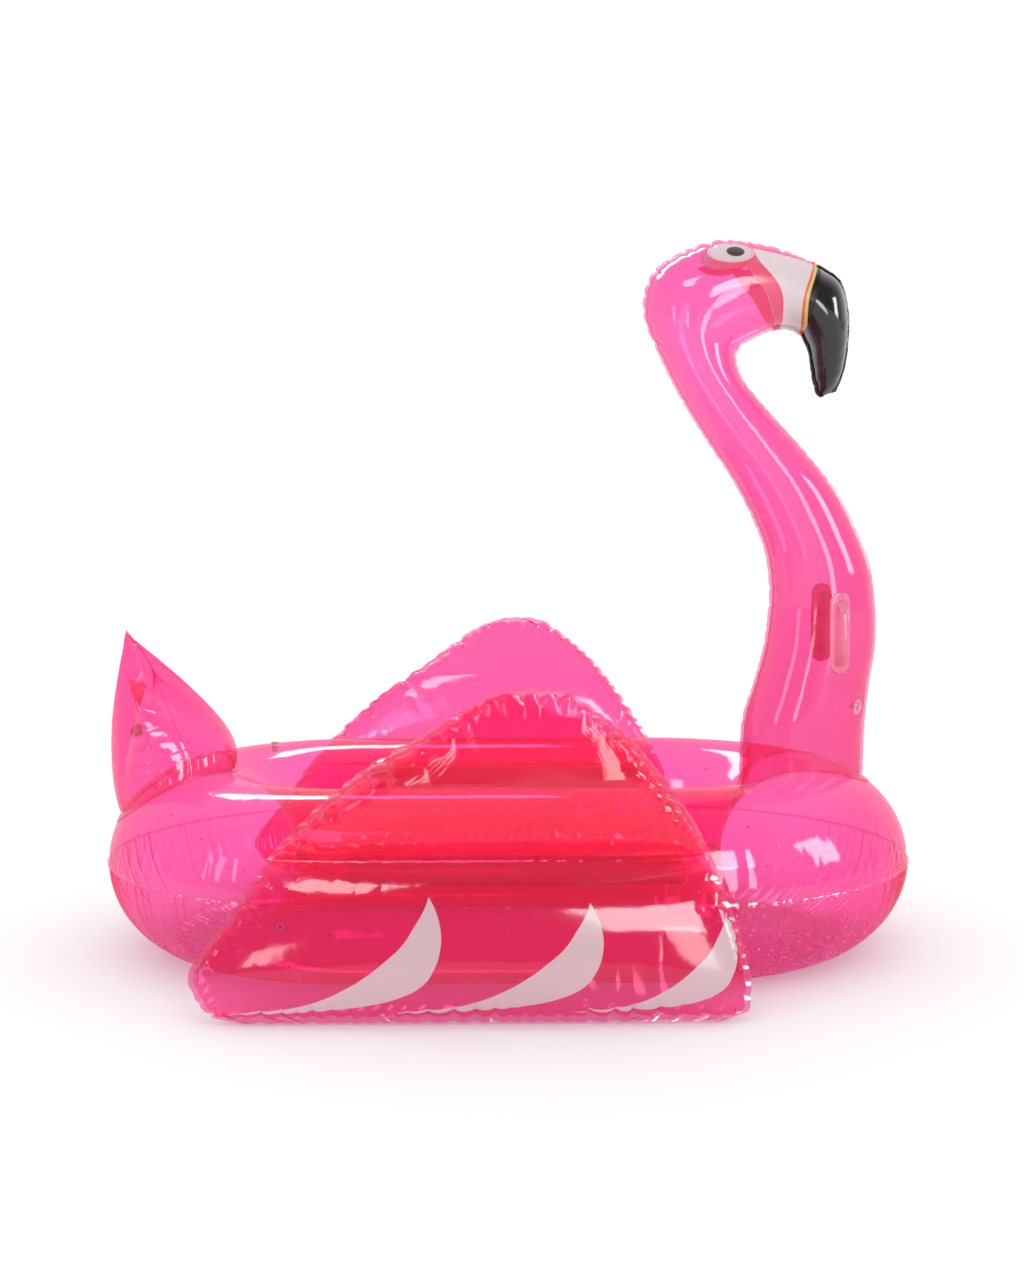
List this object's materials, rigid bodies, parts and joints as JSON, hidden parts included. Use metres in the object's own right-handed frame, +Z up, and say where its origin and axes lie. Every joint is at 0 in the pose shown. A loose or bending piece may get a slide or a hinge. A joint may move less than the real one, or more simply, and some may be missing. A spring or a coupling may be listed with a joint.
{
  "type": "inflatable pool float",
  "caption": "Ride-on inflatable pool float shaped like a long-necked wading bird: an oval seat ring with a hooked neck and head, a pointed tail and a folding wing at each side.",
  "frame": {"origin": "on the ground under the middle of the seat ring", "axes": "+X towards the head, +Y towards the bird's left wing, +Z up"},
  "size_m": [1.65, 1.2942, 1.439],
  "materials": {
    "pink_film": "glossy see-through pink vinyl film, with printed head, bill edge and feathers",
    "deep_pink_film": "glossy see-through deep pink vinyl film",
    "black_film": "glossy black vinyl film",
    "moulded_vinyl": "moulded soft vinyl, tinted pink"
  },
  "bodies": {
    "root": {"ring_top_panel": "pink_film", "ring_bottom_panel": "pink_film", "seat_floor": "deep_pink_film", "neck_left_panel": "pink_film", "neck_right_panel": "pink_film", "neck_collar": "deep_pink_film", "bill_left_panel": "black_film", "bill_right_panel": "black_film", "tail_front_panel": "pink_film", "tail_back_panel": "pink_film", "tail_collar": "deep_pink_film", "wing_left_tab": "deep_pink_film", "wing_right_tab": "deep_pink_film", "handle_left": "moulded_vinyl", "handle_right": "moulded_vinyl", "ring_valve_seat": "moulded_vinyl", "neck_valve_seat": "moulded_vinyl", "tail_valve_seat": "moulded_vinyl"},
    "wing_left": {"wing_left_outer_panel": "pink_film", "wing_left_inner_panel": "pink_film", "wing_left_valve_seat": "moulded_vinyl"},
    "wing_right": {"wing_right_outer_panel": "pink_film", "wing_right_inner_panel": "pink_film", "wing_right_valve_seat": "moulded_vinyl"},
    "ring_valve_stem": {"ring_valve_stem": "moulded_vinyl"},
    "ring_valve_plug": {"ring_valve_plug": "moulded_vinyl"},
    "neck_valve_stem": {"neck_valve_stem": "moulded_vinyl"},
    "neck_valve_plug": {"neck_valve_plug": "moulded_vinyl"},
    "tail_valve_stem": {"tail_valve_stem": "moulded_vinyl"},
    "tail_valve_plug": {"tail_valve_plug": "moulded_vinyl"},
    "wing_left_valve_stem": {"wing_left_valve_stem": "moulded_vinyl"},
    "wing_left_valve_plug": {"wing_left_valve_plug": "moulded_vinyl"},
    "wing_right_valve_stem": {"wing_right_valve_stem": "moulded_vinyl"},
    "wing_right_valve_plug": {"wing_right_valve_plug": "moulded_vinyl"}
  },
  "joints": [
    {"name": "wing_left_fold", "type": "hinge", "parent": "root", "child": "wing_left", "pos_m": [0, 0.502, 0.285], "axis": [1, 0, 0], "range_deg": [0, 25]},
    {"name": "wing_right_fold", "type": "hinge", "parent": "root", "child": "wing_right", "pos_m": [0, -0.502, 0.285], "axis": [-1, 0, 0], "range_deg": [0, 25]},
    {"name": "ring_valve_slide", "type": "slide", "parent": "root", "child": "ring_valve_stem", "axis": [0, 0, 1], "range_m": [0, 0.012]},
    {"name": "ring_plug_hinge", "type": "hinge", "parent": "ring_valve_stem", "child": "ring_valve_plug", "pos_m": [-0.4942, 0.24383, 0.3767], "axis": [0, 1, 0], "range_deg": [0, 150]},
    {"name": "neck_valve_slide", "type": "slide", "parent": "root", "child": "neck_valve_stem", "axis": [0.7846, -0.6145, -0.0823], "range_m": [0, 0.012]},
    {"name": "neck_plug_hinge", "type": "hinge", "parent": "neck_valve_stem", "child": "neck_valve_plug", "pos_m": [0.71301, -0.07703, 0.50982], "axis": [-0.6166, -0.7873, 0], "range_deg": [0, 150]},
    {"name": "tail_valve_slide", "type": "slide", "parent": "root", "child": "tail_valve_stem", "axis": [-0.7123, 0.6524, 0.2588], "range_m": [0, 0.012]},
    {"name": "tail_plug_hinge", "type": "hinge", "parent": "tail_valve_stem", "child": "tail_valve_plug", "pos_m": [-0.78065, 0.08119, 0.44354], "axis": [0.6754, 0.7374, 0], "range_deg": [0, 150]},
    {"name": "wing_left_valve_slide", "type": "slide", "parent": "wing_left", "child": "wing_left_valve_stem", "axis": [-0.066, -0.9559, -0.2861], "range_m": [0, 0.012]},
    {"name": "wing_left_plug_hinge", "type": "hinge", "parent": "wing_left_valve_stem", "child": "wing_left_valve_plug", "pos_m": [-0.41419, 0.51459, 0.1567], "axis": [0, -0.2868, 0.958], "range_deg": [0, 150]},
    {"name": "wing_right_valve_slide", "type": "slide", "parent": "wing_right", "child": "wing_right_valve_stem", "axis": [-0.066, 0.9559, -0.2861], "range_m": [0, 0.012]},
    {"name": "wing_right_plug_hinge", "type": "hinge", "parent": "wing_right_valve_stem", "child": "wing_right_valve_plug", "pos_m": [-0.41419, -0.51459, 0.1567], "axis": [0, -0.2868, -0.958], "range_deg": [0, 150]}
  ]
}
